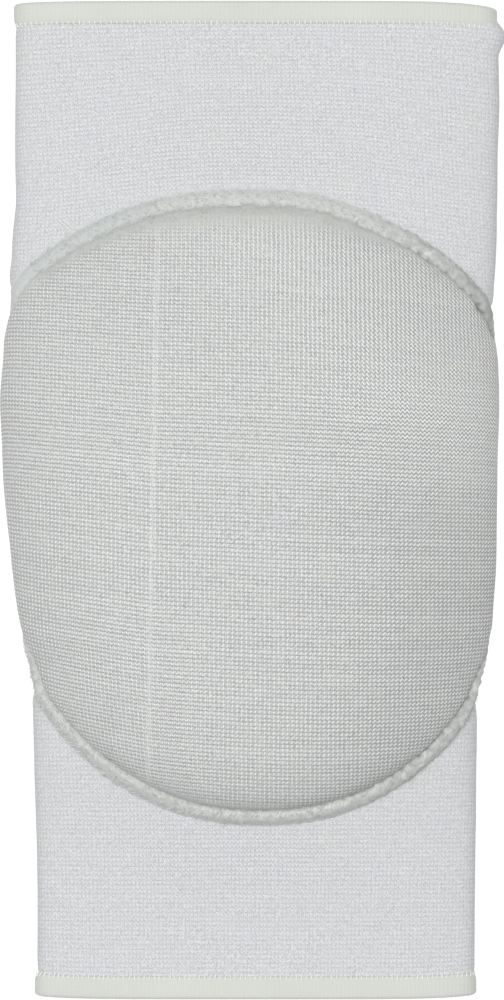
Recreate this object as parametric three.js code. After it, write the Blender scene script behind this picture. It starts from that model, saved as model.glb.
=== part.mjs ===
// A volleyball knee pad lying on its back: an elastic knitted sleeve, open at both ends,
// with a moulded foam pad sewn on its front by a corded seam and a folded hem at each rim.
// Millimetres. +X to the right, +Y towards the thigh, +Z up from the surface it lies on.
import * as THREE from 'three';

// Sleeve
const sleeveLength = 250; // rim to rim, hems included
const thighWidth = 120.5; // across the folds at the thigh end
const calfWidth = 109; // across the folds at the calf end
const kneeWidth = 111; // across the folds under the pad
const mouthHeight = 16; // outside height of both ends as they lie
const kneeHeight = 27; // outside height where the stiff pad holds the knit up
const mouthFold = 7.5; // height of the side folds' widest line at the ends
const kneeFold = 12.5; // the same under the pad
const floorPress = 3.5; // how far the round underside is pressed flat by the floor
const knitWall = 1.6; // thickness of the elastic knit

// Hems: an elastic tape folded over each rim
const hemWidth = 5.6; // how far the tape reaches along the sleeve
const tapeThickness = 0.7;

// Pad: foam in its knitted cover
const padLength = 150; // along the leg, to the seam
const padGirth = 135; // across the front, measured round the sleeve's curve
const padThickness = 17; // at its middle
const padEdge = 2.6; // where the seam presses it
const padDrop = 1.8; // its middle, from the sleeve's middle towards the calf
const padShift = 0.2; // its middle, to the left of the sleeve's middle
const padLean = 1.7; // how far its thigh end leans to the left of that
const padTaper = 0.1; // share by which it is wider at the thigh end
const padSquareness = 2.2; // 2 is an ellipse, more is squarer

// Corded seam round the pad
const seamWidth = 3.4;
const seamHeight = 2.9;

// Clearances between pieces
const seamGap = 0.3; // between layers that are sewn together
const frontSeat = 0.7; // between the knit and what is sewn on its curved front

// How finely the solids are cut
const ringPoints = 44; // round the sleeve
const sleeveStations = 26; // along the sleeve
const padSpokes = 76; // round the pad
const seamStations = 112; // round the seam
const outlineSteps = 180; // of a section's exact outline

// The sleeve from its calf rim (-1) to its thigh rim (1).
// thigh: share from the calf width to the thigh width. knee: share from there to the knee width.
// rise: share from the mouth to the knee height. round: 1 is an elliptic section, less is squarer.
const sleeveTable = [
  { at: -1.0, thigh: 0.0, knee: 0.0, rise: 0.0, round: 0.6 },
  { at: -0.84, thigh: 0.0, knee: 0.0, rise: 0.02, round: 0.61 },
  { at: -0.66, thigh: 0.03, knee: 0.0, rise: 0.2, round: 0.65 },
  { at: -0.46, thigh: 0.15, knee: 0.2, rise: 0.66, round: 0.7 },
  { at: -0.22, thigh: 0.5, knee: 0.85, rise: 0.95, round: 0.74 },
  { at: 0.04, thigh: 0.7, knee: 1.0, rise: 1.0, round: 0.75 },
  { at: 0.28, thigh: 0.9, knee: 0.7, rise: 0.82, round: 0.72 },
  { at: 0.48, thigh: 0.99, knee: 0.2, rise: 0.46, round: 0.68 },
  { at: 0.68, thigh: 0.99, knee: 0.0, rise: 0.16, round: 0.64 },
  { at: 0.84, thigh: 0.98, knee: 0.0, rise: 0.02, round: 0.61 },
  { at: 1.0, thigh: 1.0, knee: 0.0, rise: 0.0, round: 0.6 },
];

// The pad's slope from its seam to its level top, by the direction round the pad.
// turn: degrees, 0 right, 90 thigh. run: share of the pad's half length that the slope takes.
// bulge: how square the shoulder is, 1 a straight slope and 2 a round one.
const padSlopeTable = [
  { turn: 0, run: 0.58, bulge: 1.05 },
  { turn: 45, run: 0.56, bulge: 1.3 },
  { turn: 90, run: 0.62, bulge: 1.6 },
  { turn: 135, run: 0.54, bulge: 1.4 },
  { turn: 180, run: 0.5, bulge: 1.15 },
  { turn: 225, run: 0.42, bulge: 1.45 },
  { turn: 270, run: 0.38, bulge: 2.25 },
  { turn: 315, run: 0.44, bulge: 1.4 },
  { turn: 360, run: 0.58, bulge: 1.05 },
];

// How far the rims hang back at the folds, in shares of the hem's width.
const rimDrop = { thighRight: 0.31, thighLeft: 0.08, calfRight: 0.14, calfLeft: 0.1 };
const dropSharpness = 8; // how closely that keeps to the fold

// The rings of the pad's top and of its seat, as shares of the way in from the seam to the middle
const topRings = [0, 0.02, 0.05, 0.09, 0.14, 0.2, 0.28, 0.38, 0.52, 0.74];
const seatRings = [0, 0.035, 0.07, 0.105, 0.14, 0.19, 0.27, 0.42, 0.7];

const hemBuild = seamGap + tapeThickness; // what the hem adds outside the knit
const halfLength = sleeveLength / 2 - hemBuild; // of the knit itself

// Reads every column of a table between its rows, along a smooth curve.
function tableReader(rows, key, isLoop = false) {
  const columns = Object.keys(rows[0]).filter((name) => name !== key);
  const places = rows.map((row) => row[key]);
  const values = rows.flatMap((row) => columns.map((name) => row[name]));
  const curve = new THREE.CubicInterpolant(places, values, columns.length);
  const ending = isLoop ? THREE.WrapAroundEnding : THREE.ZeroCurvatureEnding;
  curve.settings = { endingStart: ending, endingEnd: ending };
  return (place) => {
    const found = curve.evaluate(place);
    return Object.fromEntries(columns.map((name, i) => [name, found[i]]));
  };
}

const readSleeve = tableReader(sleeveTable, 'at');
const readSlope = tableReader(padSlopeTable, 'turn', true);

const signedPower = (value, power) => Math.sign(value) * Math.abs(value) ** power;

// The knit's outer outline at a place along the sleeve, from the crest over the right fold and
// round, with the arc length and a mark that also counts the turning, both from the crest.
function sleeveSection(y) {
  const along = THREE.MathUtils.clamp(y / halfLength, -1, 1);
  const row = readSleeve(along);
  const legWidth = THREE.MathUtils.lerp(calfWidth, thighWidth, row.thigh);
  const halfWidth = THREE.MathUtils.lerp(legWidth, kneeWidth, row.knee) / 2;
  const crest = THREE.MathUtils.lerp(mouthHeight - hemBuild, kneeHeight, row.rise);
  const fold = THREE.MathUtils.lerp(mouthFold, kneeFold, row.rise);
  const nearRim = THREE.MathUtils.smoothstep(Math.abs(y), halfLength - 4 * hemWidth, halfLength - hemWidth);
  const floor = hemBuild * nearRim;
  const points = [];
  for (let i = 0; i < outlineSteps; i++) {
    const angle = Math.PI / 2 - (2 * Math.PI * i) / outlineSteps;
    const across = signedPower(Math.cos(angle), row.round);
    const up = signedPower(Math.sin(angle), row.round);
    const above = fold + (crest - fold) * up;
    const below = Math.max(floor, fold + (fold - floor + floorPress) * up);
    points.push(new THREE.Vector2(halfWidth * across, up >= 0 ? above : below));
  }
  const arcs = [0];
  const marks = [0];
  const step = (i) => points[(i + 1) % outlineSteps].clone().sub(points[(i + outlineSteps) % outlineSteps]);
  for (let i = 0; i < outlineSteps; i++) arcs.push(arcs[i] + step(i).length());
  const girth = arcs[outlineSteps];
  for (let i = 0; i < outlineSteps; i++) {
    const turning = Math.abs(step(i - 1).cross(step(i))) / (step(i - 1).length() * step(i).length());
    const turned = Math.asin(Math.min(1, turning)) / (2 * Math.PI);
    marks.push(marks[i] + step(i).length() / girth + turned);
  }
  return { points, arcs, marks, girth, step };
}

// A point of a section and its outward normal, where one of its running measures has a value.
function sectionPoint(section, measure, value) {
  const total = measure[outlineSteps];
  const wanted = ((value % total) + total) % total;
  let i = 0;
  while (i < outlineSteps - 1 && measure[i + 1] <= wanted) i++;
  const share = (wanted - measure[i]) / (measure[i + 1] - measure[i]);
  const start = section.points[i];
  const end = section.points[(i + 1) % outlineSteps];
  const before = section.step(i - 1).add(section.step(i)).normalize();
  const after = section.step(i).add(section.step(i + 1)).normalize();
  const tangent = before.lerp(after, share).normalize();
  return { point: start.clone().lerp(end, share), normal: new THREE.Vector2(-tangent.y, tangent.x) };
}

// The rims hang back a little at the folds.
function dropped(point) {
  const isThigh = point.y > 0;
  const across = THREE.MathUtils.clamp((2 * point.x) / (isThigh ? thighWidth : calfWidth), -1, 1);
  const share = rimDrop[(isThigh ? 'thigh' : 'calf') + (across > 0 ? 'Right' : 'Left')];
  const nearRim = THREE.MathUtils.smoothstep(Math.abs(point.y), halfLength - 4 * hemWidth, halfLength);
  point.y -= Math.sign(point.y) * share * hemWidth * Math.abs(across) ** dropSharpness * nearRim;
  return point;
}

// One ring of points round the sleeve, a distance outside the knit's outer face.
function sleeveRing(y, outside) {
  const section = sleeveSection(y);
  const total = section.marks[outlineSteps];
  const ring = [];
  for (let i = 0; i < ringPoints; i++) {
    const { point, normal } = sectionPoint(section, section.marks, (i / ringPoints) * total);
    ring.push(dropped(new THREE.Vector3(point.x + normal.x * outside, y, point.y + normal.y * outside)));
  }
  return ring;
}

// A place on the sleeve's front by its arc from the crest and its place along, with the surface's normal.
function onFront(arc, y) {
  const probe = 0.5;
  const at = (place) => {
    const section = sleeveSection(place);
    return sectionPoint(section, section.arcs, arc);
  };
  const here = at(y);
  const slope = at(y + probe).point.sub(at(y - probe).point).divideScalar(2 * probe);
  const normal = new THREE.Vector3(here.normal.x, -slope.dot(here.normal), here.normal.y).normalize();
  return { point: new THREE.Vector3(here.point.x, y, here.point.y), normal };
}

// The pad's outline on the sleeve's front, as an arc from the crest and a place along the sleeve.
function padOutline(turn, beyond = 0) {
  const angle = THREE.MathUtils.degToRad(turn);
  const power = 2 / padSquareness;
  const across = signedPower(Math.cos(angle), power);
  const up = signedPower(Math.sin(angle), power);
  const centre = -padShift - padLean * up;
  return new THREE.Vector2(
    centre + (padGirth / 2 + beyond) * across * (1 + padTaper * up),
    -padDrop + (padLength / 2 + beyond) * up,
  );
}

// How thick the pad is, a share of the way in from the seam to its middle.
function padHeight(turn, inward) {
  const slope = readSlope(turn);
  const climbed = Math.min(1, inward / slope.run);
  const level = (1 - (1 - climbed) ** slope.bulge) ** (1 / slope.bulge);
  return padEdge + (padThickness - padEdge) * level;
}

// A closed solid over rows of points. Every row is a closed ring. The rows either close on
// themselves or run from one pole to another.
function solidOfRings(rings, poles = []) {
  const count = rings[0].length;
  const positions = rings.flat().concat(poles).flatMap((p) => [p.x, p.y, p.z]);
  const index = [];
  const last = poles.length ? rings.length - 1 : rings.length;
  for (let r = 0; r < last; r++) {
    for (let i = 0; i < count; i++) {
      const a = r * count + i;
      const b = r * count + ((i + 1) % count);
      const c = ((r + 1) % rings.length) * count + ((i + 1) % count);
      const d = ((r + 1) % rings.length) * count + i;
      index.push(a, b, c, a, c, d);
    }
  }
  if (poles.length) {
    const first = rings.length * count;
    const lastRing = (rings.length - 1) * count;
    for (let i = 0; i < count; i++) {
      const next = (i + 1) % count;
      index.push(first, next, i, first + 1, lastRing + i, lastRing + next);
    }
  }
  const geometry = new THREE.BufferGeometry();
  geometry.setAttribute('position', new THREE.Float32BufferAttribute(positions, 3));
  geometry.setIndex(index);
  geometry.computeVertexNormals();
  return geometry;
}

function sleeveGeometry() {
  const places = [];
  for (let i = 0; i <= sleeveStations; i++) places.push(halfLength * ((2 * i) / sleeveStations - 1));
  const outer = places.map((y) => sleeveRing(y, 0));
  const inner = places.reverse().map((y) => sleeveRing(y, -knitWall));
  return solidOfRings([...outer, ...inner]);
}

// The tape's profile: up the outside, round the rim and back down the inside.
function hemGeometry(end) {
  const foot = halfLength + hemBuild - hemWidth;
  const innerFace = -knitWall - seamGap;
  const middle = -knitWall / 2;
  const outerHalf = knitWall / 2 + hemBuild;
  const profile = [
    { y: foot, outside: seamGap },
    { y: foot + tapeThickness / 3, outside: hemBuild },
    { y: halfLength - tapeThickness, outside: hemBuild },
  ];
  const rimArc = [60, 30, 0, -30, -60];
  for (const degrees of rimArc) {
    const angle = THREE.MathUtils.degToRad(degrees);
    const y = halfLength + hemBuild * Math.cos(angle);
    profile.push({ y, outside: middle + outerHalf * Math.sin(angle) });
  }
  profile.push(
    { y: halfLength - tapeThickness, outside: innerFace - tapeThickness },
    { y: foot + tapeThickness / 3, outside: innerFace - tapeThickness },
    { y: foot, outside: innerFace },
    { y: halfLength + seamGap, outside: innerFace },
    { y: halfLength + seamGap, outside: seamGap },
  );
  const rings = profile.map((place) => sleeveRing(end * place.y, place.outside));
  return solidOfRings(end > 0 ? rings : rings.reverse());
}

// The pad: its cushioned top from the middle out to the seam, and its seat on the knit back in.
function padGeometry() {
  const middle = padOutline(0).add(padOutline(180)).multiplyScalar(0.5);
  const shell = (inward, height) => {
    const ring = [];
    for (let i = 0; i < padSpokes; i++) {
      const turn = 360 * (1 - i / padSpokes);
      const place = padOutline(turn).lerp(middle, inward);
      const { point, normal } = onFront(place.x, place.y);
      ring.push(point.addScaledVector(normal, frontSeat + height(turn, inward)));
    }
    return ring;
  };
  const none = () => 0;
  const top = [...topRings].reverse().map((inward) => shell(inward, padHeight));
  const seat = seatRings.map((inward) => shell(inward, none));
  const crown = onFront(middle.x, middle.y);
  const poles = [frontSeat + padThickness, frontSeat].map((height) =>
    crown.point.clone().addScaledVector(crown.normal, height),
  );
  return solidOfRings([...top, ...seat], poles);
}

// The corded seam: a plump half-round bead on the knit, just outside the pad's edge.
function seamGeometry() {
  const bead = [];
  const steps = 5;
  for (let i = 0; i <= steps; i++) {
    const angle = (Math.PI * i) / steps;
    bead.push({
      beyond: seamGap + (seamWidth / 2) * (1 - Math.cos(angle)),
      height: frontSeat + (seamHeight - frontSeat) * (0.15 + 0.85 * Math.sin(angle)),
    });
  }
  bead.push({ beyond: seamGap + seamWidth, height: frontSeat }, { beyond: seamGap, height: frontSeat });
  const rings = [];
  for (let i = 0; i < seamStations; i++) {
    const turn = (360 * i) / seamStations;
    rings.push(
      bead.map(({ beyond, height }) => {
        const place = padOutline(turn, beyond);
        const { point, normal } = onFront(place.x, place.y);
        return point.addScaledVector(normal, height);
      }),
    );
  }
  return solidOfRings(rings);
}

function cloth(name, geometry, color, roughness) {
  const material = new THREE.MeshStandardMaterial({ color, roughness, metalness: 0 });
  const mesh = new THREE.Mesh(geometry, material);
  mesh.name = name;
  return mesh;
}

const kneePad = new THREE.Group();
kneePad.add(
  cloth('sleeve', sleeveGeometry(), 0xe2e6ea, 0.9),
  cloth('thigh_hem', hemGeometry(1), 0xe6eadf, 0.85),
  cloth('calf_hem', hemGeometry(-1), 0xe6eadf, 0.85),
  cloth('pad', padGeometry(), 0xd8dad8, 0.9),
  cloth('pad_seam', seamGeometry(), 0xd2d6d0, 0.95),
);

// The origin is on the surface it lies on, under the middle of its outline.
const outline = new THREE.Box3().setFromObject(kneePad);
const middle = outline.getCenter(new THREE.Vector3());
kneePad.position.set(-middle.x, -middle.y, -outline.min.z);

export default kneePad;
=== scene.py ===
import math

import bpy
import numpy as np
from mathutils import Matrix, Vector, noise
from mathutils.bvhtree import BVHTree
from mathutils.kdtree import KDTree


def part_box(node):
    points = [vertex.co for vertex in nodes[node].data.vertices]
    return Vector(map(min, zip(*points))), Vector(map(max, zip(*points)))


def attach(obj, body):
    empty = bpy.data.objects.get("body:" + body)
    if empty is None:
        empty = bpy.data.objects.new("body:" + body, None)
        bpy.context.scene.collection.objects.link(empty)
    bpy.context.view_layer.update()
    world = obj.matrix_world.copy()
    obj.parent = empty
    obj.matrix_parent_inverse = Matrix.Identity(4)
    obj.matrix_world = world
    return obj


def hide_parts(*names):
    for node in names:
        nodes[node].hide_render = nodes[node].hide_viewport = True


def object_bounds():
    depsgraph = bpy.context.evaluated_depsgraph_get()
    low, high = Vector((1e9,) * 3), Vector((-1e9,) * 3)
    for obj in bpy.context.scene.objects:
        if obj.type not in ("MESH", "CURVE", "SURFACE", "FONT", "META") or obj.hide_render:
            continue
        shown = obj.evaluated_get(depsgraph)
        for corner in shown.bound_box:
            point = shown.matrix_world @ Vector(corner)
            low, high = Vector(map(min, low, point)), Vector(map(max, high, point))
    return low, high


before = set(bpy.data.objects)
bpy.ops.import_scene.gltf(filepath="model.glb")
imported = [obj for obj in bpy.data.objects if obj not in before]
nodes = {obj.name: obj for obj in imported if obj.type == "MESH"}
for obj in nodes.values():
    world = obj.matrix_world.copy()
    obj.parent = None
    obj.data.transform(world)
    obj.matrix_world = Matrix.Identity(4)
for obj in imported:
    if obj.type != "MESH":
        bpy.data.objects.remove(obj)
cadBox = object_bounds()
mm = 0.001
print("stage: frame loaded")


# Camera, light and floor

studio = {
    "photoHeight": 1000,
    "objectPixels": 998,  # how much of the photo's height the length takes
    "cameraHeight": 1.7,
    "outlineHeight": 12 * mm,  # the height at which the widest outline lies
    "sensor": 36.0,
    "floorSize": 6.0,
    "floorColour": (0.1, 0.1, 0.1, 1),
    "floorGlow": 0.96,  # a light table, so that no shadow shows on it
    "worldStrength": 0.345,
    "keyPlace": (-0.3, 0.25, 3.5),
    "keySize": 1.6,
    "keyPower": 116.5,
}


def lookDown():
    reach = (cadBox[1].y - cadBox[0].y) * studio["photoHeight"] / studio["objectPixels"]
    middle = (cadBox[0] + cadBox[1]) / 2
    data = bpy.data.cameras.new("cameraLens")
    data.sensor_width = studio["sensor"]
    data.lens = studio["sensor"] * (studio["cameraHeight"] - studio["outlineHeight"]) / reach
    camera = bpy.data.objects.new("camera", data)
    camera.location = (middle.x, middle.y, studio["cameraHeight"])
    bpy.context.collection.objects.link(camera)
    bpy.context.scene.camera = camera


def softLight(name, place, size, power):
    data = bpy.data.lights.new(name, "AREA")
    data.shape = "DISK"
    data.size = size
    data.energy = power
    light = bpy.data.objects.new(name, data)
    light.location = place
    light.rotation_euler = (-Vector(place)).to_track_quat("-Z", "Y").to_euler()
    bpy.context.collection.objects.link(light)


def paleRoom():
    scene = bpy.context.scene
    scene.view_settings.view_transform = "Standard"
    world = bpy.data.worlds.new("paleRoom")
    world.use_nodes = True
    backdrop = world.node_tree.nodes["Background"]
    backdrop.inputs["Color"].default_value = (1, 1, 1, 1)
    backdrop.inputs["Strength"].default_value = studio["worldStrength"]
    scene.world = world
    bpy.ops.object.select_all(action="DESELECT")
    bpy.ops.mesh.primitive_plane_add(size=studio["floorSize"])
    floor = bpy.context.object
    floor.name = "floor"
    paint = bpy.data.materials.new("floorPaint")
    paint.use_nodes = True
    shader = paint.node_tree.nodes["Principled BSDF"]
    shader.inputs["Base Color"].default_value = studio["floorColour"]
    shader.inputs["Roughness"].default_value = 0.9
    shader.inputs["Emission Color"].default_value = (1, 1, 1, 1)
    shader.inputs["Emission Strength"].default_value = studio["floorGlow"]
    floor.data.materials.append(paint)


lookDown()
paleRoom()
softLight("keyLight", studio["keyPlace"], studio["keySize"], studio["keyPower"])
print("stage: studio set")


# Working with meshes and numbers

def pickOnly(piece):
    bpy.ops.object.select_all(action="DESELECT")
    piece.select_set(True)
    bpy.context.view_layer.objects.active = piece


def applyModifier(piece, kind, **settings):
    pickOnly(piece)
    bpy.ops.object.modifier_add(type=kind)
    modifier = piece.modifiers[-1]
    for key, value in settings.items():
        setattr(modifier, key, value)
    bpy.ops.object.modifier_apply(modifier=modifier.name)


def pointsOf(piece):
    found = np.empty(len(piece.data.vertices) * 3)
    piece.data.vertices.foreach_get("co", found)
    return found.reshape(-1, 3)


def movePoints(piece, points):
    piece.data.vertices.foreach_set("co", np.ascontiguousarray(points).ravel())
    piece.data.update()


def normalsOf(piece):
    found = np.empty(len(piece.data.vertices) * 3)
    piece.data.vertices.foreach_get("normal", found)
    return found.reshape(-1, 3)


def treeOf(piece):
    return BVHTree.FromObject(piece, bpy.context.evaluated_depsgraph_get())


def eased(value, low, high):
    share = np.clip((value - low) / (high - low), 0, 1)
    return share * share * (3 - 2 * share)


def evened(values, passes, isLoop):
    # smooths along the first direction, and gives back what the smoothing shrank
    for _ in range(passes):
        for weight in (0.5, -0.53):
            around = values.copy()
            if isLoop:
                around = (np.roll(values, 1, axis=0) + np.roll(values, -1, axis=0)) / 2
            else:
                around[1:-1] = (values[:-2] + values[2:]) / 2
            values = values + weight * (around - values)
    return values


def evenSteps(loop, count):
    # the same closed line, with its points at equal steps
    closed = np.vstack([loop, loop[:1]])
    arc = np.concatenate([[0], np.cumsum(np.linalg.norm(np.diff(closed, axis=0), axis=1))])
    places = np.linspace(0, arc[-1], count, endpoint=False)
    return np.stack([np.interp(places, arc, closed[:, k]) for k in range(closed.shape[1])], axis=1)


# How far the photo's outline lies outside the solids' at each side: (place along, amount), in mm
outline = {
    "from": 30 * mm,
    "to": 57 * mm,
    "reach": 130,
    "evenPasses": 6,
    "left": (
        (-120, 0), (-115, 0.3), (-70, 0.5), (-55, 0.3), (-50, 0.2), (-45, -1.1), (-40, -2.0), (-35, -0.8),
        (-25, -0.5), (-15, -0.5), (-5, 0), (5, 0.5), (15, 0.5), (25, 1.1), (30, 1.0), (35, 0.9),
        (40, 1.4), (43, 1.7), (47, 1.6), (50, 1.8), (53, 2.7), (57, 2.6), (60, 1.9), (65, 1.4),
        (70, 0.7), (75, 0), (117, 0), (121, -0.5),
    ),
    "right": (
        (-123, 0), (-118, 0.5), (-80, 0.5), (-70, 0.3), (-62, 0.2), (-55, 0), (-50, -0.6), (-45, -1.6),
        (-40, -1.1), (-35, -0.5), (-25, -0.7), (-15, -0.5), (-5, -0.6), (10, -0.6), (15, -0.4),
        (20, -0.2), (25, -0.1), (35, 0.2), (39, 0.4), (43, -0.5), (47, 0.3), (50, 1.2), (55, 1.0),
        (65, 0.8), (70, 0.6), (87, 0.5), (93, 0.8), (100, 1.1), (113, 0.9), (116, 2.4), (119, 2.6),
        (121, 0.6), (124, -0.6),
    ),
}


def trimmed(points):
    # the sides of a piece moved to the photo's outline
    grid = np.arange(-outline["reach"], outline["reach"] + 1)
    x, y = points[:, 0], points[:, 1] / mm
    amounts = []
    for side in ("left", "right"):
        places, shifts = np.array(outline[side]).T
        amount = evened(np.interp(grid, places, shifts), outline["evenPasses"], False)
        amounts.append(np.interp(y, grid, amount))
    share = eased(np.abs(x), outline["from"], outline["to"])
    shift = np.where(x < 0, -amounts[0], amounts[1]) * share * mm
    return points + np.stack([shift, shift * 0, shift * 0], axis=1)


def clothGrid(name, across, along, shape, size, isLoop=False):
    # A flat grid of cloth is bent by shape(s, t), which takes shares across and along it,
    # and is sewn to itself where its sides meet. Its UV map is in millimetres.
    bpy.ops.object.select_all(action="DESELECT")
    bpy.ops.mesh.primitive_grid_add(x_subdivisions=across, y_subdivisions=along, size=1)
    piece = bpy.context.object
    piece.name = piece.data.name = name
    flat = pointsOf(piece) + 0.5
    movePoints(piece, shape(flat[:, 0], flat[:, 1]))
    uv = piece.data.uv_layers.active
    uv.name = "clothMm"
    corners = np.empty(len(uv.data) * 2)
    uv.data.foreach_get("uv", corners)
    corners = corners.reshape(-1, 2) * size
    uv.data.foreach_set("uv", corners.ravel())
    bpy.ops.object.mode_set(mode="EDIT")
    bpy.ops.mesh.select_all(action="SELECT")
    bpy.ops.mesh.remove_doubles(threshold=0.001 * mm)
    if isLoop:
        bpy.ops.mesh.normals_make_consistent(inside=False)
    bpy.ops.object.mode_set(mode="OBJECT")
    bpy.ops.object.shade_smooth()
    return piece


def threadPiece(name, paths, radius, sides=1):
    # short threads, each along its own path, joined as one mesh
    data = bpy.data.curves.new(name, "CURVE")
    data.dimensions = "3D"
    data.bevel_depth = radius
    data.bevel_resolution = sides
    data.use_fill_caps = True
    for path in paths:
        spline = data.splines.new("POLY")
        spline.points.add(len(path) - 1)
        spline.points.foreach_set("co", np.hstack([path, np.ones((len(path), 1))]).ravel())
    piece = bpy.data.objects.new(name, data)
    bpy.context.collection.objects.link(piece)
    pickOnly(piece)
    bpy.ops.object.convert(target="MESH")
    piece = bpy.context.object
    piece.name = piece.data.name = name
    bpy.ops.object.shade_smooth()
    return piece


# Cloth materials

def feed(tree, socket, value):
    if isinstance(value, bpy.types.NodeSocket):
        tree.links.new(value, socket)
    else:
        socket.default_value = value


def calc(tree, operation, *values):
    node = tree.nodes.new("ShaderNodeMath")
    node.operation = operation
    for socket, value in zip(node.inputs, values):
        feed(tree, socket, value)
    return node.outputs[0]


def blendColour(tree, share, first, second):
    node = tree.nodes.new("ShaderNodeMix")
    node.data_type = "RGBA"
    feed(tree, node.inputs[0], share)
    feed(tree, node.inputs[6], first)
    feed(tree, node.inputs[7], second)
    return node.outputs[2]


def speckle(tree, place, scale, detail=2.0):
    node = tree.nodes.new("ShaderNodeTexNoise")
    node.inputs["Scale"].default_value = scale
    node.inputs["Detail"].default_value = detail
    tree.links.new(place, node.inputs["Vector"])
    return node.outputs["Fac"]


def readMark(tree, mark):
    node = tree.nodes.new("ShaderNodeAttribute")
    node.attribute_name = mark
    return node.outputs["Fac"]


def raggedMark(tree, mark, grains, amount):
    # a mark whose edge is broken up by a noise
    share = readMark(tree, mark)
    between = calc(tree, "MULTIPLY", share, calc(tree, "SUBTRACT", 1.0, share))
    shift = calc(tree, "MULTIPLY", calc(tree, "SUBTRACT", grains, 0.5), amount * 4)
    return calc(tree, "MULTIPLY_ADD", between, shift, share)


def clothPaint(name, roughness, sheen):
    paint = bpy.data.materials.new(name)
    paint.use_nodes = True
    shader = paint.node_tree.nodes["Principled BSDF"]
    shader.inputs["Roughness"].default_value = roughness
    shader.inputs["Sheen Weight"].default_value = sheen
    shader.inputs["Sheen Roughness"].default_value = 0.5
    shader.inputs["Specular IOR Level"].default_value = 0.25
    return paint, paint.node_tree, shader


def roughByFibres(tree, shader, fibres, roughness):
    # the fibres vary the roughness by a tenth
    rough = calc(tree, "MULTIPLY_ADD", fibres, 0.1, roughness - 0.05)
    tree.links.new(rough, shader.inputs["Roughness"])


def bumped(tree, shader, height, distance):
    node = tree.nodes.new("ShaderNodeBump")
    node.inputs["Distance"].default_value = distance
    node.inputs["Strength"].default_value = 1.0
    tree.links.new(height, node.inputs["Height"])
    tree.links.new(node.outputs["Normal"], shader.inputs["Normal"])


knit = {
    "legShare": 1.1,  # how much brighter a loop's one leg gets, and the other darker, with the balance
    "faintest": 0.08,
    "rowPeak": 4.0,  # how narrow the grooves between the rows are
    "pairPeak": 12.0,
    "roughSwing": -0.08,
    "fuzzHeight": 0.3,
}


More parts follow.
